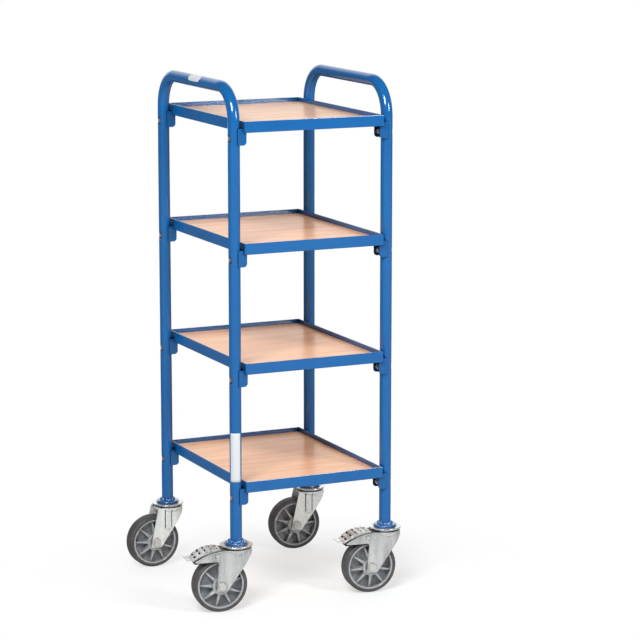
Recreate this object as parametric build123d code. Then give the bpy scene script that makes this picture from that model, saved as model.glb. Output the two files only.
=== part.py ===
from build123d import *
from math import cos, radians, sin, sqrt
import os

# Auxiliary trolley: two bent tube end frames, four shelves with inlaid boards, four swivel casters.
# Millimetres, +Z up, front of the trolley at -Y, shelves run left to right along X.
# The origin is on the floor, below the middle of the whole trolley with its casters trailing to -X.

# End frames
post_spacing_x = 374.0
post_spacing_y = 418.0
tube_diameter = 26.9
tube_wall = 2.0
handle_above_rim = 71.0
handle_bend_radius = 74.0

# Shelves
shelf_post_gap = 3.55
shelf_overhang = 22.0
rim_above_foot = 139.0
shelf_pitch = 270.0
angle_leg = 25.0
angle_thickness = 3.0
angle_edge_radius = 1.2
board_thickness = 12.0
board_clearance = 0.5

# Corner brackets and their bolts
bracket_thickness = 2.0
bracket_tuck = 7.0
bracket_above_rail = 9.0
bracket_below_rail = 28.0
bracket_wrap_angle = 76.0
bracket_corner_radius = 8.0
saddle_clearance = 0.1
bolt_drop = 13.5
bolt_diameter = 6.0
bolt_hole_clearance = 0.2
bolt_head_flats = 10.0
bolt_head_height = 4.0
bolt_tail = 2.0
nut_height = 5.0
thread_clearance = 0.05
washer_diameter = 13.0
washer_thickness = 1.6
washer_seat_clearance = 0.1
dimple_depth = 6.0
dimple_seat_margin = 0.75
dimple_slope = 0.8

# Post feet
foot_diameter = 52.0
foot_thickness = 6.0
foot_edge_radius = 2.5
foot_spigot_height = 18.0
foot_spigot_clearance = 0.1
weld_leg = 6.0

# Caster head and swivel bearing
head_above_wheel = 28.0
head_diameter = 75.0
head_thickness = 2.5
head_edge_radius = 1.0
head_overhang = 4.5
cup_depth = 7.5
cup_wall = 5.0
cup_edge_radius = 4.0
pivot_bolt_diameter = 12.0
pivot_bolt_flats = 18.0
pivot_bolt_head_height = 7.5
pivot_bolt_clearance = 0.2
pivot_bush_diameter = 18.0
pivot_washer_diameter = 30.0
pivot_washer_thickness = 3.0
running_clearance = 0.05
ball_diameter = 4.0
ball_count = 12
race_radius = 23.0
race_width = 7.0
race_lip = 0.6
crown_drop = 8.5
crown_thickness = 3.5
swivel_gap = 0.3

# Fork
trail = 40.0
hub_side_gap = 2.0
fork_thickness = 3.0
collar_height = 8.0
leg_top_reach = 33.0
leg_end_reach = 14.0
braked_leg_top_reach = 43.5
braked_leg_end_reach = 12.0
leg_end_front = 13.0
leg_end_drop = 12.0
leg_end_radius = 6.0
knee_reach = 10.0
knee_drop = 42.0
apron_front_drop = 6.0
fork_panel_width = 14.0
fork_panel_length = 48.0
fork_panel_offset = 9.0
fork_panel_proud = 1.6
fork_panel_edge = 0.7
fork_panel_corner = 3.0
fork_crease_width = 2.2
fork_crease_depth = 1.5

# Wheel
wheel_diameter = 125.0
tyre_width = 34.0
tyre_thickness = 8.9
tyre_shoulder_radius = 7.0
tyre_seat_clearance = 0.05
rim_inset = 1.5
rim_band = 3.8
web_thickness = 5.0
spoke_count = 9
spoke_root = 7.6
spoke_waist = 4.0
spoke_tip = 3.4
spoke_drop = 2.0
hub_wall = 4.0
hub_proud = 4.0
bearing_diameter = 32.0
bearing_width = 9.0
bearing_shoulder = 4.0
sleeve_wall = 2.5
axle_diameter = 10.0
axle_head_diameter = 20.0
axle_head_plate = 2.0
axle_flats = 15.0
axle_head_height = 6.0
axle_nut_height = 8.0

# Wheel brake on the two front casters
wing_reach = 102.5
wing_root_reach = 16.0
wing_root_drop = 0.5
wing_mid_drop = 3.5
wing_tip_drop = 21.5
wing_lower_drop = 24.0
wing_tip_slope = 6.0
wing_corner_radius = 6.0
wing_border_width = 2.2
wing_border_proud = 1.0
pedal_pivot_reach = 50.0
pedal_pivot_drop = 10.5
pedal_travel = 9.0
pedal_pin_diameter = 6.0
pedal_pin_head = 9.0
pedal_pin_head_height = 1.6
pedal_side_clearance = 0.6
pedal_sheet = 2.0
pedal_front_reach = 41.0
pedal_front_rise = 3.0
pedal_mid_rise = 1.5
pedal_end_reach = 105.0
pedal_end_drop = 17.5
pedal_lip_reach = 119.0
pedal_lip_drop = 16.5
pedal_ear_radius = 6.5
pedal_ear_share = 0.35
pedal_skirt_depth = 8.5
tread_rows = 5
tread_slot_length = 15.0
tread_slot_width = 4.0
tread_rib_height = 1.4
shoe_width = 30.0
shoe_start = 66.0
shoe_end = 100.0
shoe_bottom_drop = 29.5
brake_gap = 0.8
shoe_seat_clearance = 0.2

# Rest angles, degrees: casters about their pivots, wheels about their axles
caster_angles = {"rear_left": 0.5, "front_left": -8.4, "rear_right": -8.0, "front_right": -7.1}
wheel_angles = {"rear_left": -17.0, "front_left": -17.0, "rear_right": -3.0, "front_right": -27.0}

# Sizes that follow from the ones above
tube_radius = tube_diameter / 2
wheel_radius = wheel_diameter / 2
caster_height = wheel_diameter + head_above_wheel
foot_top = caster_height + foot_thickness
rail_face = tube_radius + shelf_post_gap
bracket_reach = rail_face + bracket_tuck
shelf_length_x = post_spacing_x - 2 * rail_face
shelf_length_y = post_spacing_y + 2 * shelf_overhang
bottom_rim_height = foot_top + rim_above_foot
dimple_seat_radius = bolt_head_flats / sqrt(3) + dimple_seat_margin
head_underside = caster_height - head_thickness
crown_top = caster_height - crown_drop
crown_bottom = crown_top - crown_thickness
crown_radius = head_diameter / 2 - head_overhang
ball_height = head_underside - race_lip - running_clearance - ball_diameter / 2
knee_height = crown_top - knee_drop
hub_width = tyre_width + 2 * hub_proud
hub_diameter = bearing_diameter + 2 * hub_wall
sleeve_diameter = axle_diameter + 2 * sleeve_wall
rim_width = tyre_width - 2 * rim_inset
rim_radius = wheel_radius - tyre_thickness
fork_gap = hub_width + 2 * hub_side_gap
fork_outside = fork_gap / 2 + fork_thickness
pedal_half_width = fork_gap / 2 - pedal_side_clearance
pedal_pivot_height = crown_top - pedal_pivot_drop
pedal_turn = radians(caster_angles["front_left"])
pedal_span = pedal_lip_reach * cos(pedal_turn) + pedal_half_width * abs(sin(pedal_turn))
frame_shift = (pedal_span - head_diameter / 2) / 2

levels = ("bottom", "lower", "upper", "top")
rail_bottoms = {name: bottom_rim_height + i * shelf_pitch - angle_leg for i, name in enumerate(levels)}
handle_height = rail_bottoms["top"] + angle_leg + handle_above_rim
corners = {"rear_left": (-1, 1), "front_left": (-1, -1), "rear_right": (1, 1), "front_right": (1, -1)}
braked_corners = ("front_left", "front_right")

lowest = (Align.CENTER, Align.CENTER, Align.MIN)
os.makedirs("parts", exist_ok=True)


def write(name, *solids):
    moved = [Pos(frame_shift, 0, 0) * solid for solid in solids]
    export_step(moved[0] if len(moved) == 1 else Compound(children=moved), f"parts/{name}.step")


def along(origin, direction):
    return Plane(origin=origin, z_dir=direction)


def rod(origin, direction, radius, length):
    return along(origin, direction) * Cylinder(radius, length, align=lowest)


def ring(origin, direction, outer, inner, length):
    return rod(origin, direction, outer, length) - rod(origin, direction, inner, length)


def hex_block(origin, direction, flats, length):
    outline = RegularPolygon(radius=flats / 2, side_count=6, major_radius=False)
    return extrude(along(origin, direction) * outline, amount=length)


def side_slab(outline, near, far):
    """Solid between two Y planes from an outline drawn in X and Z."""
    return extrude(Pos(0, far, 0) * (Plane.XZ * outline), amount=far - near)


# End frames: one bent tube each, dimpled where the bracket bolts sit
def bent_bar(side, radius):
    x, y = side * post_spacing_x / 2, post_spacing_y / 2
    stations = [(x, -y, foot_top), (x, -y, handle_height), (x, y, handle_height), (x, y, foot_top)]
    path = FilletPolyline(*stations, radius=handle_bend_radius)
    return sweep(along(stations[0], (0, 0, 1)) * Circle(radius), path=path)


def dimple(side, y, z, depth, seat_radius):
    height = depth + dimple_depth
    seat = along((side * (post_spacing_x / 2 + tube_radius - depth), y, z), (side, 0, 0))
    return seat * Cone(seat_radius, seat_radius + dimple_slope * height, height, align=lowest)


def end_frame(side):
    outside = bent_bar(side, tube_radius)
    bore = bent_bar(side, tube_radius - tube_wall)
    holes = []
    for rail_bottom in rail_bottoms.values():
        for end in (-1, 1):
            y, z = end * post_spacing_y / 2, rail_bottom - bolt_drop
            outside -= dimple(side, y, z, dimple_depth, dimple_seat_radius)
            bore -= dimple(side, y, z, dimple_depth + tube_wall, dimple_seat_radius + tube_wall / 2)
            start = (side * (post_spacing_x / 2 - tube_diameter), y, z)
            holes.append(rod(start, (side, 0, 0), bolt_diameter / 2 + bolt_hole_clearance, 2 * tube_diameter))
    tube = outside - bore
    for hole in holes:
        tube -= hole
    return tube


# Shelves: four mitred angle rails and an inlaid board
def shelf_rails(rail_bottom):
    x, y = shelf_length_x / 2, shelf_length_y / 2
    t = angle_thickness
    lift = Pos(0, 0, rail_bottom)
    block = Box(2 * x, 2 * y, angle_leg, align=lowest)
    block = fillet(block.edges().group_by(Axis.Z)[0], angle_edge_radius)
    tray = Pos(0, 0, t) * Box(2 * (x - t), 2 * (y - t), angle_leg, align=lowest)
    window = Box(2 * (x - angle_leg), 2 * (y - angle_leg), angle_leg, align=lowest)
    frame = block - tray - window
    rails = []
    for end in (-1, 1):
        front = [(-x, end * y), (x, end * y), (x - angle_leg, end * (y - angle_leg)),
                 (angle_leg - x, end * (y - angle_leg))]
        cheek = [(end * x, -y), (end * x, y), (end * (x - angle_leg), y - angle_leg),
                 (end * (x - angle_leg), angle_leg - y)]
        for points in (front, cheek):
            mitre = extrude(make_face(Polyline(*points, close=True)), amount=angle_leg)
            rails.append(lift * (frame & mitre).solid())
    return rails


def shelf_board(rail_bottom):
    edge = 2 * (angle_thickness + board_clearance)
    board = Box(shelf_length_x - edge, shelf_length_y - edge, board_thickness, align=lowest)
    return Pos(0, 0, rail_bottom + angle_thickness) * board


# Corner bracket: a saddle round the inner side of the post between two cheeks that run under the rail
def corner_bracket(rail_bottom, side, end):
    inner = tube_radius + saddle_clearance
    outer = inner + bracket_thickness
    bottom, top = rail_bottom - bracket_below_rail, rail_bottom + bracket_above_rail
    wrap = radians(bracket_wrap_angle)
    root = inner * cos(wrap)
    plan = Circle(outer) - Circle(inner)
    plan &= Pos(root, 0) * Rectangle(2 * outer, 2 * outer, align=(Align.MIN, Align.CENTER))
    for cheek in (-1, 1):
        centre_y = cheek * (outer - bracket_thickness / 2)
        strip = Rectangle(bracket_reach - root, bracket_thickness, align=(Align.MIN, Align.CENTER))
        plan += Pos(root, centre_y) * strip
    plan -= Circle(inner)
    blank = extrude(Pos(0, 0, bottom) * plan, amount=top - bottom)
    r = bracket_corner_radius
    side_view = [Line((0, bottom), (bracket_reach - r, bottom)),
                 RadiusArc((bracket_reach - r, bottom), (bracket_reach, bottom + r), -r),
                 Polyline((bracket_reach, bottom + r), (bracket_reach, rail_bottom), (rail_face, rail_bottom),
                          (rail_face, top), (0, top), (0, bottom))]
    trim = side_slab(make_face(side_view), -2 * outer, 2 * outer)
    hole = rod((0, 0, rail_bottom - bolt_drop), (1, 0, 0), bolt_diameter / 2 + bolt_hole_clearance,
               bracket_reach)
    return at_post(side, end) * ((blank & trim) - hole)


def at_post(side, end):
    """Local frame of a post joint, with X running inward from the post axis."""
    turn = 0 if side < 0 else 180
    return Pos(side * post_spacing_x / 2, end * post_spacing_y / 2, 0) * Rot(0, 0, turn)


def bracket_bolt(rail_bottom, side, end):
    z = rail_bottom - bolt_drop
    seat = -(tube_radius - dimple_depth)
    tail = saddle_seat() + washer_thickness + nut_height + bolt_tail
    bolt = rod((seat, 0, z), (1, 0, 0), bolt_diameter / 2, tail - seat)
    head = hex_block((seat, 0, z), (-1, 0, 0), bolt_head_flats, bolt_head_height)
    return at_post(side, end) * (bolt + head)


def saddle_seat():
    return tube_radius + saddle_clearance + bracket_thickness


def bracket_washer(rail_bottom, side, end):
    z = rail_bottom - bolt_drop
    blank = ring((0, 0, z), (1, 0, 0), washer_diameter / 2, bolt_diameter / 2 + bolt_hole_clearance,
                 saddle_seat() + washer_thickness)
    web_radius = saddle_seat() + washer_seat_clearance
    web = rod((0, 0, z - washer_diameter), (0, 0, 1), web_radius, 2 * washer_diameter)
    return at_post(side, end) * (blank - web)


def bracket_nut(rail_bottom, side, end):
    z = rail_bottom - bolt_drop
    seat = (saddle_seat() + washer_thickness, 0, z)
    nut = hex_block(seat, (1, 0, 0), bolt_head_flats, nut_height)
    nut -= rod(seat, (1, 0, 0), bolt_diameter / 2 + thread_clearance, nut_height)
    return at_post(side, end) * nut


# Post foot: welded disc with a tapped spigot inside the tube
def post_foot(side, end):
    disc = Cylinder(foot_diameter / 2, foot_thickness, align=lowest)
    disc = fillet(disc.edges().group_by(Axis.Z)[-1], foot_edge_radius)
    spigot_radius = tube_radius - tube_wall - foot_spigot_clearance
    spigot = rod((0, 0, foot_thickness), (0, 0, 1), spigot_radius, foot_spigot_height)
    bead_inner = tube_radius + foot_spigot_clearance
    bead = make_face(Polyline((bead_inner, foot_thickness), (bead_inner + weld_leg, foot_thickness),
                              (bead_inner, foot_thickness + weld_leg), close=True))
    foot = disc + spigot + revolve(Plane.XZ * bead, Axis.Z)
    tapped = rod((0, 0, 0), (0, 0, 1), pivot_bolt_diameter / 2 + thread_clearance,
                 foot_thickness + foot_spigot_height)
    return caster_place(side, end, 0) * (Pos(0, 0, caster_height) * (foot - tapped))


def caster_place(side, end, angle):
    return Pos(side * post_spacing_x / 2, end * post_spacing_y / 2, 0) * Rot(0, 0, angle)


# Fixed half of the caster: pressed head, pivot bush, retaining washer, bolt and balls
def caster_head():
    plate = Cylinder(head_diameter / 2, head_thickness, align=lowest)
    plate = Pos(0, 0, cup_depth - head_thickness) * fillet(plate.edges(), head_edge_radius)
    cup = Cylinder(crown_radius, cup_depth - head_thickness / 2, align=lowest)
    cup = fillet(cup.edges().group_by(Axis.Z)[0], cup_edge_radius)
    cup -= Cylinder(crown_radius - cup_wall, cup_depth - head_thickness, align=lowest)
    race = ring((0, 0, cup_depth - head_thickness), (0, 0, -1), race_radius + race_width / 2,
                race_radius - race_width / 2, race_lip)
    hole = Cylinder(pivot_bolt_diameter / 2 + pivot_bolt_clearance, cup_depth, align=lowest)
    return Pos(0, 0, caster_height - cup_depth) * (plate + cup + race - hole)


def pivot_bush():
    bottom = crown_bottom - swivel_gap
    return ring((0, 0, bottom), (0, 0, 1), pivot_bush_diameter / 2,
                pivot_bolt_diameter / 2 + pivot_bolt_clearance, head_underside - bottom)


def pivot_washer():
    bottom = crown_bottom - swivel_gap - pivot_washer_thickness
    return ring((0, 0, bottom), (0, 0, 1), pivot_washer_diameter / 2,
                pivot_bolt_diameter / 2 + pivot_bolt_clearance, pivot_washer_thickness)


def pivot_bolt():
    seat = crown_bottom - swivel_gap - pivot_washer_thickness
    shank = rod((0, 0, seat), (0, 0, 1), pivot_bolt_diameter / 2, foot_top + foot_spigot_height - seat)
    return shank + hex_block((0, 0, seat), (0, 0, -1), pivot_bolt_flats, pivot_bolt_head_height)


def ball_row():
    ball = Pos(race_radius, 0, ball_height) * Sphere(ball_diameter / 2)
    return [Rot(0, 0, 360 * i / ball_count) * ball for i in range(ball_count)]


# Swivelling fork: crown with lower race, two legs and a rounded front apron
def leg_outline(top_reach, end_reach):
    low = wheel_radius - leg_end_drop
    blade = make_face(Polyline((-top_reach, crown_top), (-trail - end_reach, low),
                               (-trail + leg_end_front, low), (knee_reach, knee_height),
                               (knee_reach, crown_top), close=True))
    return fillet(blade.vertices().group_by(Axis.Y)[0], leg_end_radius)


def wing_arc(depth):
    top = crown_top - depth
    middle_reach = (wing_root_reach + wing_reach) / 2
    return ThreePointArc((-wing_root_reach, top - wing_root_drop), (-middle_reach, top - wing_mid_drop),
                         (-wing_reach, top - wing_tip_drop))


def wing_outline():
    arc, lower = wing_arc(0), crown_top - wing_lower_drop
    return make_face([arc, Polyline(arc @ 1, (-wing_reach + wing_tip_slope, lower),
                                    (-wing_root_reach, lower), arc @ 0)])


def wing_border():
    """Raised edge along the top of the wing."""
    top, under = wing_arc(0), wing_arc(wing_border_width)
    return wing_outline() & make_face([top, under, Line(top @ 0, under @ 0), Line(top @ 1, under @ 1)])


def braked_outline():
    """Leg and wing in one, with the corner between them rounded."""
    outline = leg_outline(braked_leg_top_reach, braked_leg_end_reach) + wing_outline()
    share = wing_lower_drop / (crown_top - wheel_radius + leg_end_drop)
    corner_x = -braked_leg_top_reach - share * (trail + braked_leg_end_reach - braked_leg_top_reach)
    corner = Vertex(corner_x, crown_top - wing_lower_drop, 0)
    return fillet(outline.vertices().sort_by_distance(corner)[0], wing_corner_radius)


def cheek_relief(braked, cheek):
    """What is pressed outwards on one cheek: the border of a wing, or a raised panel on an unbraked fork."""
    middle = cheek * (fork_outside - fork_thickness / 2)
    if braked:
        return side_slab(wing_border(), *sorted((middle, cheek * (fork_outside + wing_border_proud))))
    left, right = -fork_panel_offset - fork_panel_width / 2, -fork_panel_offset + fork_panel_width / 2
    low = crown_bottom - fork_panel_length
    outline = make_face(Polyline((left, crown_bottom), (left, low), (right, low), (right, crown_bottom),
                                 close=True))
    outline = fillet(outline.vertices().group_by(Axis.Y)[0], fork_panel_corner)
    panel = side_slab(outline, *sorted((middle, cheek * (fork_outside + fork_panel_proud))))
    outer_face = panel.faces().sort_by(Axis.Y)[-1 if cheek > 0 else 0]
    return fillet(outer_face.edges(), fork_panel_edge)


def creases(cheek):
    """Upright grooves along both sides of the raised panel, up through the collar."""
    low = crown_bottom - fork_panel_length + fork_panel_corner
    depths = sorted((cheek * (fork_outside - fork_crease_depth), cheek * (crown_radius + fork_crease_width)))
    middle = (fork_panel_width + fork_crease_width) / 2
    groove = Pos(0, (low + crown_bottom) / 2) * Rectangle(fork_crease_width, crown_bottom - low)
    return [side_slab(Pos(side * middle - fork_panel_offset, 0) * groove, *depths) for side in (-1, 1)]


def crown():
    """Top of the fork: a plate closed over the hood, the lower race, and a collar flaring up to the head."""
    top = rod((0, 0, crown_bottom), (0, 0, 1), crown_radius, crown_thickness)
    top += rod((knee_reach, 0, crown_bottom), (0, 0, 1), fork_outside, crown_thickness)
    race_top = ball_height - ball_diameter / 2 - running_clearance
    top += ring((0, 0, crown_top), (0, 0, 1), race_radius + race_width / 2, race_radius - race_width / 2,
                race_top - crown_top)
    collar_bottom = crown_bottom - collar_height
    flare = make_face(Polyline((crown_radius, crown_bottom), (fork_outside, collar_bottom),
                               (fork_outside - fork_thickness, collar_bottom),
                               (crown_radius - fork_thickness, crown_bottom), close=True))
    return top + revolve(Plane.XZ * flare, Axis.Z)


def fork(braked):
    outline = braked_outline() if braked else leg_outline(leg_top_reach, leg_end_reach)
    body = crown()
    for cheek in (-1, 1):
        near, far = sorted((cheek * fork_gap / 2, cheek * fork_outside))
        body += side_slab(outline, near, far)
        body += cheek_relief(braked, cheek)
        if not braked:
            body -= creases(cheek)
    hood = ring((knee_reach, 0, knee_height), (0, 0, 1), fork_outside, fork_gap / 2, crown_top - knee_height)
    front_reach = knee_reach + fork_outside
    front = make_face(Polyline((knee_reach, knee_height), (front_reach, crown_top - apron_front_drop),
                               (front_reach, crown_top), (knee_reach, crown_top), close=True))
    body += hood & side_slab(front, -fork_outside, fork_outside)
    body -= rod((0, 0, crown_bottom), (0, 0, 1), pivot_bush_diameter / 2 + running_clearance, crown_drop)
    body -= rod((-trail, -fork_outside, wheel_radius), (0, 1, 0), axle_diameter / 2 + bolt_hole_clearance,
                2 * fork_outside)
    if braked:
        body -= rod((-pedal_pivot_reach, -fork_outside, pedal_pivot_height), (0, 1, 0),
                    pedal_pin_diameter / 2 + running_clearance, 2 * fork_outside)
    return body


# Wheel axle: flanged bolt, spacer sleeve clamped between the legs, and nut
def axle_bolt():
    shank = rod((-trail, -fork_outside, wheel_radius), (0, 1, 0), axle_diameter / 2,
                2 * fork_outside + axle_nut_height + bolt_tail)
    plate = rod((-trail, -fork_outside, wheel_radius), (0, -1, 0), axle_head_diameter / 2, axle_head_plate)
    head = hex_block((-trail, -fork_outside, wheel_radius), (0, -1, 0), axle_flats,
                     axle_head_plate + axle_head_height)
    return shank + plate + head


def axle_sleeve():
    return ring((-trail, -fork_gap / 2, wheel_radius), (0, 1, 0), sleeve_diameter / 2,
                axle_diameter / 2 + bolt_hole_clearance, fork_gap)


def axle_nut():
    seat = (-trail, fork_outside, wheel_radius)
    nut = hex_block(seat, (0, 1, 0), axle_flats, axle_nut_height)
    nut += rod(seat, (0, 1, 0), axle_head_diameter / 2, axle_head_plate)
    return nut - rod(seat, (0, 1, 0), axle_diameter / 2 + thread_clearance, axle_nut_height)


# Wheel: spoked plastic rim with two bearings and a bonded tyre, built round the Y axis
def wheel_place(corner):
    return Pos(-trail, 0, wheel_radius) * Rot(0, wheel_angles[corner], 0)


def centred_rod(radius, width):
    return rod((0, -width / 2, 0), (0, 1, 0), radius, width)


def spoke_plan(hub_radius, end):
    """A spoke seen along the axle: it flares into the hub."""
    middle = (hub_radius + end) / 2
    sides = [ThreePointArc((hub_radius, side * spoke_root / 2), (middle, side * spoke_waist / 2),
                           (end, side * spoke_tip / 2)) for side in (-1, 1)]
    root = Polyline(sides[0] @ 0, (hub_radius / 2, 0), sides[1] @ 0)
    return make_face([*sides, root, Line(sides[0] @ 1, sides[1] @ 1)])


def wheel_rim():
    inner = rim_radius - rim_band
    body = centred_rod(rim_radius, rim_width) - centred_rod(inner, rim_width)
    body += centred_rod(inner + rim_band / 2, web_thickness)
    hub_radius = hub_diameter / 2
    hub_edge, rim_edge = hub_width / 2 - spoke_drop, rim_width / 2 - spoke_drop
    half_outline = [(hub_radius / 2, hub_edge), (hub_radius, hub_edge), (inner, rim_edge),
                    (inner + rim_band / 2, rim_edge)]
    mirrored = [(reach, -depth) for reach, depth in reversed(half_outline)]
    spoke = extrude(Pos(0, 0, -spoke_root) * make_face(Polyline(*half_outline, *mirrored, close=True)),
                    amount=2 * spoke_root)
    spoke &= side_slab(spoke_plan(hub_radius, inner + rim_band / 2), -hub_width / 2, hub_width / 2)
    for i in range(spoke_count):
        body += Rot(0, 360 * i / spoke_count, 0) * spoke
    body += centred_rod(hub_radius, hub_width)
    body -= centred_rod(bearing_diameter / 2 - bearing_shoulder, hub_width)
    for end in (-1, 1):
        seat = (0, end * (hub_width / 2 - bearing_width), 0)
        body -= rod(seat, (0, end, 0), bearing_diameter / 2 + running_clearance, bearing_width)
    return body


def wheel_tyre():
    tyre = centred_rod(wheel_radius, tyre_width)
    tyre = fillet(tyre.edges(), tyre_shoulder_radius)
    return tyre - centred_rod(rim_radius + tyre_seat_clearance, tyre_width)


def wheel_bearing(end):
    seat = (0, end * (hub_width / 2 - bearing_width), 0)
    return ring(seat, (0, end, 0), bearing_diameter / 2, sleeve_diameter / 2 + running_clearance,
                bearing_width)


# Brake: treaded pedal between the wings of the fork, its pin, and a shoe above the tyre
def tread_arc(depth):
    top = crown_top - depth
    middle = (-(pedal_front_reach + pedal_end_reach) / 2, top + pedal_mid_rise)
    return ThreePointArc((-pedal_front_reach, top + pedal_front_rise), middle,
                         (-pedal_end_reach, top - pedal_end_drop))


def pedal_skirt():
    """Side of the pedal, which runs out towards its free end."""
    top, rise = tread_arc(pedal_sheet / 2), tread_arc(pedal_skirt_depth)
    end = tread_arc(pedal_sheet) @ 1
    under = ThreePointArc(rise @ 0, rise @ 0.5, end)
    return make_face([top, under, Line(top @ 0, under @ 0), Line(top @ 1, under @ 1)])


def brake_pedal():
    top, under = tread_arc(0), tread_arc(pedal_sheet)
    end, lip_end = top @ 1, (-pedal_lip_reach, crown_top - pedal_lip_drop)
    lip = [(end.X, end.Y), lip_end, (lip_end[0], lip_end[1] - pedal_sheet), (end.X, end.Y - pedal_sheet)]
    tread = make_face([top, under, Line(top @ 0, under @ 0), Line(top @ 1, under @ 1)])
    pedal = side_slab(tread, -pedal_half_width, pedal_half_width)
    pedal += side_slab(make_face(Polyline(*lip, close=True)), -pedal_half_width, pedal_half_width)
    pivot = (-pedal_pivot_reach, pedal_pivot_height)
    ear = Pos(*pivot) * Circle(pedal_ear_radius)
    inside = tread_arc(pedal_sheet / 2)
    sides = [(pivot[0] + side * pedal_ear_radius, pivot[1]) for side in (-1, 1)]
    ear += make_face(Polyline(*sides, inside @ 0, inside @ pedal_ear_share, close=True))
    ear += pedal_skirt()
    for cheek in (-1, 1):
        near, far = sorted((cheek * pedal_half_width, cheek * (pedal_half_width - pedal_sheet)))
        pedal += side_slab(ear, near, far)
    for row in range(tread_rows):
        spot = top @ ((row + 0.5) / tread_rows)
        rib_spot = top @ ((row + 1) / (tread_rows + 1))
        pedal += rod((rib_spot.X, -pedal_half_width, rib_spot.Y), (0, 1, 0), tread_rib_height,
                     2 * pedal_half_width)
        for cheek in (-1, 1):
            slot = Box(tread_slot_width, tread_slot_length, 4 * pedal_sheet)
            pedal -= Pos(spot.X, cheek * pedal_half_width / 2, spot.Y) * slot
    pin_hole = rod((pivot[0], -fork_gap / 2, pivot[1]), (0, 1, 0),
                   pedal_pin_diameter / 2 + running_clearance, fork_gap)
    return pedal - pin_hole


def brake_pin():
    pin = rod((-pedal_pivot_reach, -fork_outside, pedal_pivot_height), (0, 1, 0), pedal_pin_diameter / 2,
              2 * fork_outside)
    for cheek in (-1, 1):
        pin += rod((-pedal_pivot_reach, cheek * fork_outside, pedal_pivot_height), (0, cheek, 0),
                   pedal_pin_head / 2, pedal_pin_head_height)
    return pin


def brake_shoe():
    top = tread_arc(pedal_sheet + shoe_seat_clearance)
    front, back = top @ 0, top @ 1
    high, low = caster_height, crown_top - shoe_bottom_drop
    cover = make_face([top, Polyline((back.X, back.Y), (back.X, high), (front.X, high), (front.X, front.Y))])
    half = shoe_width / 2
    block = make_face(Polyline((-shoe_start, low), (-shoe_end, low), (-shoe_end, high), (-shoe_start, high),
                               close=True))
    shoe = side_slab(block, -half, half) - side_slab(cover, -half, half)
    dx, dz = pedal_pivot_reach - trail, wheel_radius - pedal_pivot_height
    press = radians(pedal_travel)
    axle_x = dx * cos(press) + dz * sin(press) - pedal_pivot_reach
    axle_z = dz * cos(press) - dx * sin(press) + pedal_pivot_height
    return shoe - rod((axle_x, -half, axle_z), (0, 1, 0), wheel_radius + brake_gap, shoe_width)


def caster_angle(corner):
    return caster_angles[corner]


def write_frame():
    write("end_frame_left", end_frame(-1))
    write("end_frame_right", end_frame(1))
    for name, rail_bottom in rail_bottoms.items():
        write(f"shelf_frame_{name}", *shelf_rails(rail_bottom))
        write(f"shelf_board_{name}", shelf_board(rail_bottom))
        write(f"corner_brackets_{name}", *[corner_bracket(rail_bottom, *post) for post in corners.values()])
    joints = [(rail_bottom, *post) for rail_bottom in rail_bottoms.values() for post in corners.values()]
    write("bracket_bolts", *[bracket_bolt(*joint) for joint in joints])
    write("bracket_washers", *[bracket_washer(*joint) for joint in joints])
    write("bracket_nuts", *[bracket_nut(*joint) for joint in joints])
    write("post_feet", *[post_foot(*post) for post in corners.values()])


def write_casters():
    posts = {name: caster_place(*post, caster_angle(name)) for name, post in corners.items()}
    write("pivot_bolts", *[place * pivot_bolt() for place in posts.values()])
    write("pivot_washers", *[place * pivot_washer() for place in posts.values()])
    write("pivot_bushes", *[place * pivot_bush() for place in posts.values()])
    write("swivel_balls", *[place * ball for place in posts.values() for ball in ball_row()])
    for name, place in posts.items():
        braked = name in braked_corners
        write(f"caster_head_{name}", place * caster_head())
        write(f"fork_{name}", place * fork(braked))
        write(f"axle_bolt_{name}", place * axle_bolt())
        write(f"axle_sleeve_{name}", place * axle_sleeve())
        write(f"axle_nut_{name}", place * axle_nut())
        wheel = place * wheel_place(name)
        write(f"wheel_rim_{name}", wheel * wheel_rim())
        write(f"tyre_{name}", wheel * wheel_tyre())
        write(f"wheel_bearings_{name}", *[wheel * wheel_bearing(end) for end in (-1, 1)])
        if braked:
            write(f"brake_pedal_{name}", place * brake_pedal())
            write(f"brake_pin_{name}", place * brake_pin())
            write(f"brake_shoe_{name}", place * brake_shoe())


write_frame()
write_casters()
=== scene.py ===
import math
import bpy
import bmesh
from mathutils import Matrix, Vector


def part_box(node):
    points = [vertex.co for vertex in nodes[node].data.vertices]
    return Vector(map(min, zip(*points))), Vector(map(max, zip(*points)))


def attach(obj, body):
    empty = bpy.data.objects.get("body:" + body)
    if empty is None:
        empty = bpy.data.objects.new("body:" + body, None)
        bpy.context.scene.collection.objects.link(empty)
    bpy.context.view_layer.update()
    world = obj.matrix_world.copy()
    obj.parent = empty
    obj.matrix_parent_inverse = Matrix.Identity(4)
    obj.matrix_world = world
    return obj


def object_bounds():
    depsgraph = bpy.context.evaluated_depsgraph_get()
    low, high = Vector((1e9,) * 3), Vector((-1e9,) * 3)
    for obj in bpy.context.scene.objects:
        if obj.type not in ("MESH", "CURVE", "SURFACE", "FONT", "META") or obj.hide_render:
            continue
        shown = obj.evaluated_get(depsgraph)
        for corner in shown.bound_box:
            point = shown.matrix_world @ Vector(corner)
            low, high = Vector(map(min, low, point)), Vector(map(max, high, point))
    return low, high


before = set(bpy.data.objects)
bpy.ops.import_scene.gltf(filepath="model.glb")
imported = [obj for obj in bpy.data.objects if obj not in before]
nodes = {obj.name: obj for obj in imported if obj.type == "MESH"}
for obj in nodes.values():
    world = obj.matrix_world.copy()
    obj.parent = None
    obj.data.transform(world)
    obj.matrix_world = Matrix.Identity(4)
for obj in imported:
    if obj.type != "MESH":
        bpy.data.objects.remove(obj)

scene = bpy.context.scene
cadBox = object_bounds()
print("frame loaded:", len(nodes), "nodes")


# helpers for node materials and meshes

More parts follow.
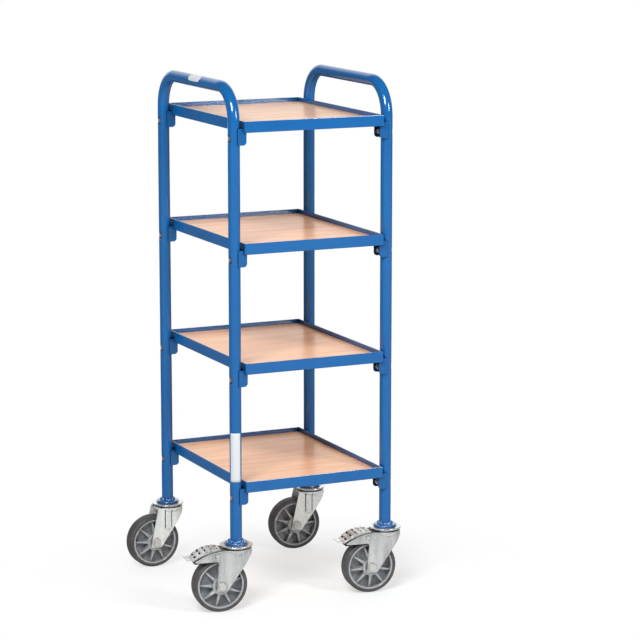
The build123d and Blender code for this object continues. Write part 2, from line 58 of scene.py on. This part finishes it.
def setSockets(node, **sockets):
    for name, value in sockets.items():
        node.inputs[name.replace("_", " ")].default_value = value


def addNode(tree, kind, **sockets):
    node = tree.nodes.new(kind)
    setSockets(node, **sockets)
    return node


def newMaterial(name):
    material = bpy.data.materials.new(name)
    material.use_nodes = True
    return material, material.node_tree, material.node_tree.nodes["Principled BSDF"]


def objectPoint(tree, scale=(1, 1, 1)):
    source = tree.nodes.new("ShaderNodeTexCoord")
    mapping = addNode(tree, "ShaderNodeMapping", Scale=scale)
    tree.links.new(source.outputs["Object"], mapping.inputs["Vector"])
    return mapping.outputs["Vector"]


def noise(tree, point, scale, detail=2.0, roughness=0.5):
    node = addNode(tree, "ShaderNodeTexNoise", Scale=scale, Detail=detail, Roughness=roughness)
    tree.links.new(point, node.inputs["Vector"])
    return node.outputs["Fac"]


def ramp(tree, value, spots, colours):
    node = tree.nodes.new("ShaderNodeValToRGB")
    band = node.color_ramp.elements
    while len(band) < len(spots):
        band.new(0.5)
    for element, spot, colour in zip(band, spots, colours):
        element.position = spot
        element.color = (*colour, 1.0)
    tree.links.new(value, node.inputs["Fac"])
    return node.outputs["Color"]


def span(tree, value, low, high, fromLow=0.0, fromHigh=1.0):
    node = addNode(tree, "ShaderNodeMapRange", From_Min=fromLow, From_Max=fromHigh, To_Min=low, To_Max=high)
    tree.links.new(value, node.inputs["Value"])
    return node.outputs["Result"]


def combine(tree, kind, first, second):
    node = tree.nodes.new("ShaderNodeMath")
    node.operation = kind
    for socket, value in zip(node.inputs, (first, second)):
        if isinstance(value, (int, float)):
            socket.default_value = value
        else:
            tree.links.new(value, socket)
    return node.outputs["Value"]


def weighted(tree, first, second, share):
    return combine(tree, "ADD", combine(tree, "MULTIPLY", first, share),
                   combine(tree, "MULTIPLY", second, 1 - share))


def measured(tree, kind, point, target):
    node = tree.nodes.new("ShaderNodeVectorMath")
    node.operation = kind
    node.inputs[1].default_value = target
    tree.links.new(point, node.inputs[0])
    return node.outputs["Value"]


def splitAxes(tree, point):
    node = tree.nodes.new("ShaderNodeSeparateXYZ")
    tree.links.new(point, node.inputs[0])
    return node.outputs


def blendColours(tree, share, first, second):
    node = tree.nodes.new("ShaderNodeMix")
    node.data_type = "RGBA"
    tree.links.new(share, node.inputs["Factor"])
    for socket, value in ((node.inputs[6], first), (node.inputs[7], second)):    # its colour sockets
        if isinstance(value, tuple):
            socket.default_value = (*value, 1.0)
        else:
            tree.links.new(value, socket)
    return node.outputs[2]


def mixShaders(tree, share, first, second):
    mixer = tree.nodes.new("ShaderNodeMixShader")
    for socket, source in zip(mixer.inputs, (share, first, second)):
        tree.links.new(source, socket)
    return mixer.outputs[0]


# painted shade: a share from ambient occlusion, low in creases and near other parts, where shade falls
def paintedCreaseShade(tree, reach, low, high):
    node = addNode(tree, "ShaderNodeAmbientOcclusion", Distance=reach)
    node.samples = 8
    return span(tree, node.outputs["AO"], 0.0, 1.0, low, high)


# painted highlight: a share that rises on sharp, convex edges
def paintedEdgeHighlight(tree, low, high):
    geometry = tree.nodes.new("ShaderNodeNewGeometry")
    return span(tree, geometry.outputs["Pointiness"], 0.0, 1.0, low, high)


def bump(tree, shader, height, strength, distance):
    node = addNode(tree, "ShaderNodeBump", Strength=strength, Distance=distance)
    tree.links.new(height, node.inputs["Height"])
    tree.links.new(node.outputs["Normal"], shader.inputs["Normal"])


def setLook(tree, shader, colour, dullness):
    tree.links.new(colour, shader.inputs["Base Color"])
    tree.links.new(dullness, shader.inputs["Roughness"])


def meshPiece(name, bm, material, body):
    mesh = bpy.data.meshes.new(name)
    bmesh.ops.recalc_face_normals(bm, faces=bm.faces)
    bm.to_mesh(mesh)
    bm.free()
    for polygon in mesh.polygons:
        polygon.use_smooth = True
    piece = bpy.data.objects.new(name, mesh)
    scene.collection.objects.link(piece)
    mesh.materials.append(material)
    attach(piece, body)
    return piece


# camera and stage

camera = {"place": (-2.36495, -5.4255, 1.7069), "pitch": 10.4145, "yaw": -24.962, "focalPixels": 2595.47,
          "pixels": 640, "sensor": 36.0, "farthest": 60.0}
lensData = bpy.data.cameras.new("photoCamera")
lensData.sensor_fit = "HORIZONTAL"
lensData.sensor_width = camera["sensor"]
lensData.lens = camera["focalPixels"] * camera["sensor"] / camera["pixels"]
lensData.clip_end = camera["farthest"]
lensObject = bpy.data.objects.new("photoCamera", lensData)
lensObject.location = camera["place"]
lensObject.rotation_euler = (math.radians(90 - camera["pitch"]), 0, math.radians(camera["yaw"]))
scene.collection.objects.link(lensObject)
scene.camera = lensObject
scene.view_settings.view_transform = "Standard"

floor = {"half": 9.0, "cells": 8, "colour": (0.92, 0.935, 0.945), "gloss": 0.05, "grain": 60.0,
         "dullness": (0.7, 0.8), "centre": (0.05, -0.2, 0.0), "solid": 0.2, "gone": 0.8, "bare": 0.5,
         "mirrored": (0.40, 0.16), "mirroredReach": (-1.0, 1.0)}
bm = bmesh.new()
bmesh.ops.create_grid(bm, x_segments=floor["cells"], y_segments=floor["cells"], size=floor["half"])
floorMesh = bpy.data.meshes.new("floor")
bm.to_mesh(floorMesh)
bm.free()
floorObject = bpy.data.objects.new("floor", floorMesh)
floorObject.location = (0, 0, cadBox[0].z)
scene.collection.objects.link(floorObject)
floorPaint, tree, shader = newMaterial("paleFloor")
setSockets(shader, Base_Color=(*floor["colour"], 1), Specular_IOR_Level=floor["gloss"])
point = objectPoint(tree)
dullness = span(tree, noise(tree, point, floor["grain"]), *floor["dullness"])
tree.links.new(dullness, shader.inputs["Roughness"])
distance = measured(tree, "DISTANCE", point, floor["centre"])
fade = span(tree, distance, floor["bare"], 1.0, floor["solid"], floor["gone"])    # far floor joins backdrop
fade.node.interpolation_type = "SMOOTHSTEP"
paper = addNode(tree, "ShaderNodeEmission", Color=(1, 1, 1, 1))
ray = tree.nodes.new("ShaderNodeLightPath").outputs
depth = splitAxes(tree, point)["Y"]
sheen = span(tree, depth, *floor["mirrored"], *floor["mirroredReach"])    # dimmer behind than in front
tree.links.new(combine(tree, "MAXIMUM", ray["Is Camera Ray"], sheen), paper.inputs["Strength"])
seen = combine(tree, "MAXIMUM", ray["Is Camera Ray"], ray["Is Glossy Ray"])
surface = mixShaders(tree, combine(tree, "MULTIPLY", fade, seen), shader.outputs[0], paper.outputs[0])
tree.links.new(surface, tree.nodes["Material Output"].inputs["Surface"])
floorMesh.materials.append(floorPaint)

studio = {"left": 0.17, "right": 0.36, "sideReach": (-0.7, 0.7), "behind": 0.60, "behindReach": (0.0, 0.8),
          "room": 0.08, "paper": 1.2, "paperCentre": (0.37, 0.92, 0.1), "paperEdge": (0.72, 0.87)}
world = bpy.data.worlds.new("studio")
scene.world = world
world.use_nodes = True
tree = world.node_tree
tree.nodes.clear()
worldOut = tree.nodes.new("ShaderNodeOutputWorld")
roomLight = addNode(tree, "ShaderNodeBackground", Color=(1, 1, 1, 1))
backdrop = addNode(tree, "ShaderNodeBackground", Color=(1, 1, 1, 1), Strength=1.0)
mirrored = addNode(tree, "ShaderNodeBackground", Color=(1, 1, 1, 1))    # what paint and bright metal reflect
direction = tree.nodes.new("ShaderNodeTexCoord").outputs["Generated"]
heading = splitAxes(tree, direction)
sideGlow = span(tree, heading["X"], studio["left"], studio["right"], *studio["sideReach"])
paperGlow = span(tree, heading["Y"], 0.0, studio["behind"], *studio["behindReach"])    # the paper behind
tree.links.new(combine(tree, "ADD", sideGlow, paperGlow), roomLight.inputs["Strength"])
towards = measured(tree, "DOT_PRODUCT", direction, studio["paperCentre"])
reflected = span(tree, towards, studio["room"], studio["paper"], *studio["paperEdge"])
tree.links.new(reflected, mirrored.inputs["Strength"])
ray = tree.nodes.new("ShaderNodeLightPath").outputs
lit = mixShaders(tree, ray["Is Glossy Ray"], roomLight.outputs[0], mirrored.outputs[0])
seen = combine(tree, "MAXIMUM", ray["Is Camera Ray"], ray["Is Transmission Ray"])
tree.links.new(mixShaders(tree, seen, lit, backdrop.outputs[0]), worldOut.inputs["Surface"])

lights = (
    {"name": "leftPanel", "place": (-2.1, -2.7, 3.5), "aim": (0, 0, 0.65), "size": (1.6, 1.6), "power": 176},
    {"name": "rightPanel", "place": (1.5, -2.8, 2.0), "aim": (0, 0, 0.8), "size": (0.6, 1.1), "power": 46},
)
for light in lights:
    lampData = bpy.data.lights.new(light["name"], "AREA")
    lampData.shape = "RECTANGLE"
    lampData.size, lampData.size_y = light["size"]
    lampData.energy = light["power"]
    lamp = bpy.data.objects.new(light["name"], lampData)
    lamp.location = light["place"]
    lamp.rotation_euler = (Vector(light["aim"]) - lamp.location).to_track_quat("-Z", "Y").to_euler()
    scene.collection.objects.link(lamp)
print("camera, floor and lights set")


# blue powder coat

# the third colour is the painted shade for creases and contact lines
paint = {"dark": (0.005, 0.099, 0.305), "colour": (0.006, 0.112, 0.335), "paintedShadeColour": (0.001, 0.022, 0.075),
         "cloud": 7.0, "cloudDetail": 3.0, "cloudSpots": (0.3, 0.7), "lacquerDullness": 0.04}
tubeCoat = {"gloss": 0.75, "dullness": (0.08, 0.15), "ripple": 420.0, "strength": 0.08, "depth": 0.0003,
            "reach": 0.010, "shade": (0.3, 0.85), "lacquer": 0.0}
shelfCoat = {**tubeCoat, "strength": 0.025, "reach": 0.3, "shade": (0.13, 0.55)}    # painted shade, darker where the shelf above would shade it
# painted shade on the brackets near the post and the rail
bracketCoat = {**tubeCoat, "reach": 0.035, "shade": (0.35, 1.1)}
weldCoat = {**tubeCoat, "gloss": 1.0, "dullness": (0.05, 0.1), "ripple": 190.0, "strength": 1.0,
            "depth": 0.003, "reach": 0.004, "lacquer": 1.0}    # pooled over the weld


def bluePowderCoat(name, coat):
    material, tree, shader = newMaterial(name)
    point = objectPoint(tree)
    cloud = noise(tree, point, paint["cloud"], paint["cloudDetail"])
    blue = ramp(tree, cloud, paint["cloudSpots"], (paint["dark"], paint["colour"]))
    # painted shade: the blue darkens towards the shade colour in creases and near other parts
    clear = paintedCreaseShade(tree, coat["reach"], *coat["shade"])
    ripple = noise(tree, point, coat["ripple"])
    setLook(tree, shader, blendColours(tree, clear, paint["paintedShadeColour"], blue),
            span(tree, ripple, *coat["dullness"]))
    bump(tree, shader, ripple, coat["strength"], coat["depth"])
    setSockets(shader, Specular_IOR_Level=coat["gloss"], Coat_Weight=coat["lacquer"],
               Coat_Roughness=paint["lacquerDullness"])
    return material


bluePaint = bluePowderCoat("bluePowderCoat", tubeCoat)
shelfPaint = bluePowderCoat("bluePaintOnShelves", shelfCoat)
bracketPaint = bluePowderCoat("bluePaintOnBrackets", bracketCoat)
weldPaint = bluePowderCoat("bluePaintOverWeld", weldCoat)


# beech boards

board = {"vein": (0.70, 0.38, 0.208), "warm": (0.795, 0.465, 0.277), "pale": (0.84, 0.525, 0.332),
         "spots": (0.36, 0.5, 0.66), "broadStretch": (1.6, 14, 14), "fineStretch": (14, 520, 520),
         "poreStretch": (60, 1300, 1300), "broadShare": 0.6, "dullness": (0.2, 0.3), "gloss": 0.1,
         "poreStrength": 0.08, "poreDepth": 0.0002}
beechDecor, tree, shader = newMaterial("beechDecor")
broad = noise(tree, objectPoint(tree, board["broadStretch"]), scale=3.0, detail=3.0, roughness=0.55)
fine = noise(tree, objectPoint(tree, board["fineStretch"]), scale=1.0, detail=4.0, roughness=0.6)
pores = noise(tree, objectPoint(tree, board["poreStretch"]), scale=1.0, detail=1.0)
grain = weighted(tree, broad, fine, board["broadShare"])
wood = ramp(tree, grain, board["spots"], (board["vein"], board["warm"], board["pale"]))
setLook(tree, shader, wood, span(tree, fine, *board["dullness"]))
bump(tree, shader, pores, board["poreStrength"], board["poreDepth"])
setSockets(shader, Specular_IOR_Level=board["gloss"])


# zinc-plated sheet

# the grime colour darkens real scuffs on the trodden plate and is also the painted shade in creases
zinc = {"spangle": 55.0, "spangleStretch": (1, 1, 0.18), "spangleShare": 0.75, "mottle": 420.0,
        "spots": (0.34, 0.58), "toneRange": (0.35, 0.65), "strength": 0.14, "depth": 0.0012,
        "scuff": 210.0, "scuffRange": (0.48, 0.62), "edge": (0.95, 0.95, 0.94), "highlightRange": (0.52, 0.58),
        "grimeAndShade": (0.10, 0.10, 0.095), "shadeReach": 0.006, "shadeRange": (0.45, 0.95)}
brightSheet = {"dull": (0.52, 0.535, 0.53), "bright": (0.84, 0.855, 0.845), "dullness": (0.34, 0.16),
               "metallic": 0.78, "scuffs": 0.0}
# a lighter, greener copy of the zinc: painted light for the rear forks, which sit in shade under the bottom
# shelf
litSheet = {"dull": (0.76, 0.81, 0.78), "bright": (0.93, 0.97, 0.93), "dullness": (0.36, 0.2),
             "metallic": 0.4, "scuffs": 0.0}
trodSheet = {**brightSheet, "dullness": (0.42, 0.24), "metallic": 0.65, "scuffs": 0.6}    # scuffed by shoes


def zincPlate(name, sheet):
    material, tree, shader = newMaterial(name)
    point = objectPoint(tree)
    stretched = objectPoint(tree, zinc["spangleStretch"])
    streak = noise(tree, stretched, zinc["spangle"], detail=4.0, roughness=0.62)
    tone = weighted(tree, streak, noise(tree, point, zinc["mottle"]), zinc["spangleShare"])
    plate = ramp(tree, tone, zinc["spots"], (sheet["dull"], sheet["bright"]))
    if sheet["scuffs"]:
        scuff = noise(tree, point, zinc["scuff"], detail=3.0, roughness=0.6)
        worn = span(tree, scuff, 0.0, sheet["scuffs"], *zinc["scuffRange"])
        plate = blendColours(tree, worn, plate, zinc["grimeAndShade"])
    # painted highlight: sharp edges blend towards the light edge colour
    plate = blendColours(tree, paintedEdgeHighlight(tree, *zinc["highlightRange"]), plate, zinc["edge"])
    # painted shade: creases, rims round bolts and the ground under head plates darken towards the grime
    # colour
    zincShadeMask = paintedCreaseShade(tree, zinc["shadeReach"], *zinc["shadeRange"])
    setLook(tree, shader, blendColours(tree, zincShadeMask, zinc["grimeAndShade"], plate),
            span(tree, tone, *sheet["dullness"], *zinc["toneRange"]))
    bump(tree, shader, streak, zinc["strength"], zinc["depth"])
    setSockets(shader, Metallic=sheet["metallic"])
    return material


zincSheet = zincPlate("brightZincSheet", brightSheet)
litZinc = zincPlate("paintedLitZincSheet", litSheet)
trodZinc = zincPlate("trodZincSheet", trodSheet)


# fasteners and bearings

axleMetal = {"dull": (0.58, 0.57, 0.54), "bright": (0.80, 0.80, 0.78), "spots": (0.3, 0.7), "fleck": 300.0,
             "detail": 3.0, "dullness": (0.22, 0.4), "metallic": 0.6}
boltMetal = {"dull": (0.46, 0.44, 0.38), "bright": (0.88, 0.86, 0.78), "spots": (0.35, 0.65), "fleck": 260.0,
             "detail": 3.0, "dullness": (0.16, 0.34), "metallic": 0.85}
bearingMetal = {"dull": (0.42, 0.42, 0.43), "bright": (0.62, 0.62, 0.63), "spots": (0.3, 0.7),
                "fleck": 240.0, "detail": 2.0, "dullness": (0.18, 0.32), "metallic": 1.0}


def fleckedMetal(name, metal):
    material, tree, shader = newMaterial(name)
    fleck = noise(tree, objectPoint(tree), metal["fleck"], metal["detail"])
    colour = ramp(tree, fleck, metal["spots"], (metal["dull"], metal["bright"]))
    setLook(tree, shader, colour, span(tree, fleck, *metal["dullness"]))
    setSockets(shader, Metallic=metal["metallic"])
    return material


zincFastener = fleckedMetal("zincFastener", axleMetal)
bracketZinc = fleckedMetal("bracketZinc", boltMetal)
bearingSteel = fleckedMetal("bearingSteel", bearingMetal)


# wheels, brake shoes and stickers

# the edge colour is a painted highlight on sharp spoke and rim edges
rim = {"dark": (0.17, 0.18, 0.19), "light": (0.28, 0.29, 0.30), "spots": (0.3, 0.7), "mottle": 90.0,
       "edge": (0.50, 0.52, 0.54), "highlightRange": (0.51, 0.57), "grain": 900.0, "dullness": (0.3, 0.45),
       "strength": 0.12, "depth": 0.0002}
rimPlastic, tree, shader = newMaterial("greyRimPlastic")
point = objectPoint(tree)
mottle = ramp(tree, noise(tree, point, rim["mottle"], detail=3.0), rim["spots"], (rim["dark"], rim["light"]))
grain = noise(tree, point, rim["grain"])
# painted highlight: sharp edges blend towards the lighter edge colour
setLook(tree, shader, blendColours(tree, paintedEdgeHighlight(tree, *rim["highlightRange"]), mottle, rim["edge"]),
        span(tree, grain, *rim["dullness"]))
bump(tree, shader, grain, rim["strength"], rim["depth"])

tyre = {"dark": (0.05, 0.047, 0.048), "light": (0.085, 0.081, 0.082), "spots": (0.3, 0.7), "blotch": 45.0,
        "grain": 700.0, "dullness": (0.5, 0.66), "strength": 0.2, "depth": 0.0003}
tyreRubber, tree, shader = newMaterial("greyTyreRubber")
point = objectPoint(tree)
blotch = noise(tree, point, tyre["blotch"], detail=4.0, roughness=0.6)
grain = noise(tree, point, tyre["grain"], detail=3.0)
setLook(tree, shader, ramp(tree, blotch, tyre["spots"], (tyre["dark"], tyre["light"])),
        span(tree, grain, *tyre["dullness"]))
bump(tree, shader, grain, tyre["strength"], tyre["depth"])

shoe = {"dark": (0.014, 0.014, 0.015), "light": (0.03, 0.03, 0.032), "spots": (0.3, 0.7), "grain": 400.0,
        "dullness": (0.5, 0.7), "strength": 0.15, "depth": 0.0003}
shoeRubber, tree, shader = newMaterial("blackShoeRubber")
grain = noise(tree, objectPoint(tree), shoe["grain"], detail=3.0)
setLook(tree, shader, ramp(tree, grain, shoe["spots"], (shoe["dark"], shoe["light"])),
        span(tree, grain, *shoe["dullness"]))
bump(tree, shader, grain, shoe["strength"], shoe["depth"])

film = {"dark": (0.55, 0.585, 0.615), "light": (0.61, 0.645, 0.675), "spots": (0.3, 0.7), "fibre": 500.0,
        "dullness": (0.3, 0.42)}
labelFilm, tree, shader = newMaterial("whiteLabelFilm")
fibre = noise(tree, objectPoint(tree), film["fibre"])
setLook(tree, shader, ramp(tree, fibre, film["spots"], (film["dark"], film["light"])),
        span(tree, fibre, *film["dullness"]))
print("materials made")


# CAD nodes: finish and rounded edges

edges = {"join": 0.00001, "segments": 2, "sharpest": 38}
finishes = (
    {"starts": ("end_frame",), "material": bluePaint, "edge": 0.0008},
    {"starts": ("post_feet",), "material": weldPaint, "edge": 0.0008},
    {"starts": ("shelf_frame",), "material": shelfPaint, "edge": 0.0007},
    {"starts": ("corner_brackets",), "material": bracketPaint, "edge": 0.0009},
    {"starts": ("shelf_board",), "material": beechDecor, "edge": 0.0004},
    {"starts": ("caster_head", "fork_front"), "material": zincSheet, "edge": 0.0006},
    # rear forks take the lighter zinc copy as painted light
    {"starts": ("fork_rear",), "material": litZinc, "edge": 0.0006},
    {"starts": ("brake_pedal",), "material": trodZinc, "edge": 0.0004},
    {"starts": ("bracket_",), "material": bracketZinc, "edge": 0.0005},
    {"starts": ("axle_bolt", "axle_nut", "pivot_bolts", "pivot_washers", "brake_pin"),
     "material": zincFastener, "edge": 0.0003},
    {"starts": ("pivot_bushes", "swivel_balls", "axle_sleeve", "wheel_bearings"),
     "material": bearingSteel, "edge": 0.0002},
    {"starts": ("wheel_rim",), "material": rimPlastic, "edge": 0.0006},
    {"starts": ("tyre",), "material": tyreRubber, "edge": 0.0008},
    {"starts": ("brake_shoe",), "material": shoeRubber, "edge": 0.0006},
)
for finish in finishes:
    for name, node in nodes.items():
        if not name.startswith(finish["starts"]):
            continue
        node.data.materials.clear()
        node.data.materials.append(finish["material"])
        join = node.modifiers.new("joinCorners", "WELD")
        join.merge_threshold = edges["join"]
        edge = node.modifiers.new("edgeRound", "BEVEL")
        edge.width = finish["edge"]
        edge.segments = edges["segments"]
        edge.limit_method = "ANGLE"
        edge.angle_limit = math.radians(edges["sharpest"])
        edge.use_clamp_overlap = True
        normals = node.modifiers.new("faceNormals", "WEIGHTED_NORMAL")
        normals.keep_sharp = True
print("CAD nodes finished")


# weld beads round the post feet

weld = {"leg": 0.006, "lump": 0.0019, "lift": 0.0002, "sink": 0.0006, "lumps": 17, "around": 340,
        "across": 10, "sway": 0.5, "swayTurns": 3, "uneven": 0.25, "unevenTurns": 5, "unevenStart": 40}


def weldBead(name, x, y, footTop, innerRadius):
    bm = bmesh.new()
    loops = []
    for i in range(weld["around"]):
        turn = 2 * math.pi * i / weld["around"]
        sway = weld["sway"] * math.sin(weld["swayTurns"] * turn)
        ripple = abs(math.sin(turn * weld["lumps"] / 2 + sway))    # one scallop per weld lump
        uneven = math.sin(weld["unevenTurns"] * turn + x * weld["unevenStart"])
        ripple *= 1 - weld["uneven"] + weld["uneven"] * uneven
        height = weld["lump"] * ripple + weld["lift"] + weld["sink"]
        loop = []
        for j in range(weld["across"] + 1):
            share = j / weld["across"]
            swell = (height * math.sin(math.pi * share) - weld["sink"]) * math.sqrt(0.5)
            reach = innerRadius + weld["leg"] * share + swell
            rise = footTop + weld["leg"] * (1 - share) + swell
            loop.append(bm.verts.new((x + reach * math.cos(turn), y + reach * math.sin(turn), rise)))
        loops.append(loop)
    for first, second in zip(loops, loops[1:] + loops[:1]):
        for j in range(weld["across"]):
            bm.faces.new((first[j], second[j], second[j + 1], first[j + 1]))
        bm.faces.new((first[0], first[-1], second[-1], second[0]))    # closed along the joint under the bead
    return meshPiece(name, bm, weldPaint, "frame")


for side in ("left", "right"):
    low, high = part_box("end_frame_" + side)
    tube = (high.x - low.x) / 2
    for end, y in (("front", low.y + tube), ("rear", high.y - tube)):
        weldBead(f"weld_bead_{end}_{side}", (low.x + high.x) / 2, y, low.z, tube)
print("weld beads made")


# blank stickers, bent round the tube

cut = {"turnSteps": 8, "runSteps": 12, "rings": 8, "lift": 0.00003, "thickness": 0.00025}


def roundedOutline(halfWide, halfLong, corner):
    spots = []
    for quarter, (sx, sy) in enumerate(((1, 1), (-1, 1), (-1, -1), (1, -1))):
        for step in range(cut["turnSteps"] + 1):
            angle = math.pi / 2 * (quarter + step / cut["turnSteps"])
            spots.append(Vector((sx * (halfWide - corner) + corner * math.cos(angle),
                                 sy * (halfLong - corner) + corner * math.sin(angle))))
    outline = []
    for first, second in zip(spots, spots[1:] + spots[:1]):
        steps = cut["runSteps"] if (second - first).length > corner else 1
        outline += [first.lerp(second, step / steps) for step in range(steps)]
    return outline


def curvedSticker(name, centre, axis, outward, radius, halfWide, halfLong, corner):
    along = Vector(axis).normalized()
    out = (Vector(outward) - along * Vector(outward).dot(along)).normalized()
    across = along.cross(out)
    outline = roundedOutline(halfWide, halfLong, corner)
    neighbours = [(i, (i + 1) % len(outline)) for i in range(len(outline))]
    bm = bmesh.new()
    rims = []
    for lift in (cut["lift"], cut["thickness"]):    # the glued face, then the outer one
        shell = []
        for ring in range(1, cut["rings"] + 1):
            share = ring / cut["rings"]
            loop = []
            for arc, length in outline:
                angle = arc * share / radius
                away = (out * math.cos(angle) + across * math.sin(angle)) * (radius + lift)
                loop.append(bm.verts.new(Vector(centre) + along * (length * share) + away))
            shell.append(loop)
        middle = bm.verts.new(Vector(centre) + out * (radius + lift))
        for i, j in neighbours:
            bm.faces.new((middle, shell[0][i], shell[0][j]))
            for inner, outer in zip(shell, shell[1:]):
                bm.faces.new((inner[i], outer[i], outer[j], inner[j]))
        rims.append(shell[-1])
    for i, j in neighbours:
        bm.faces.new((rims[0][i], rims[1][i], rims[1][j], rims[0][j]))
    return meshPiece(name, bm, labelFilm, "frame")


frameLow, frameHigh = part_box("end_frame_left")
tubeRadius = (frameHigh.x - frameLow.x) / 2
tubeX = (frameHigh.x + frameLow.x) / 2
postLabel = {"centre": (tubeX, frameLow.y + tubeRadius, 0.354), "axis": (0, 0, 1),
             "outward": (-0.42, -0.9, 0), "halfWide": 0.0125, "halfLong": 0.056, "corner": 0.002}
handleMark = {"centre": (tubeX, -0.009, frameHigh.z - tubeRadius), "axis": (0, 1, 0),
              "outward": (-0.75, 0, 0.66), "halfWide": 0.0092, "halfLong": 0.033, "corner": 0.0091}
for name, sticker in (("post_label", postLabel), ("handle_mark", handleMark)):
    curvedSticker(name, radius=tubeRadius, **sticker)
print("stickers made")
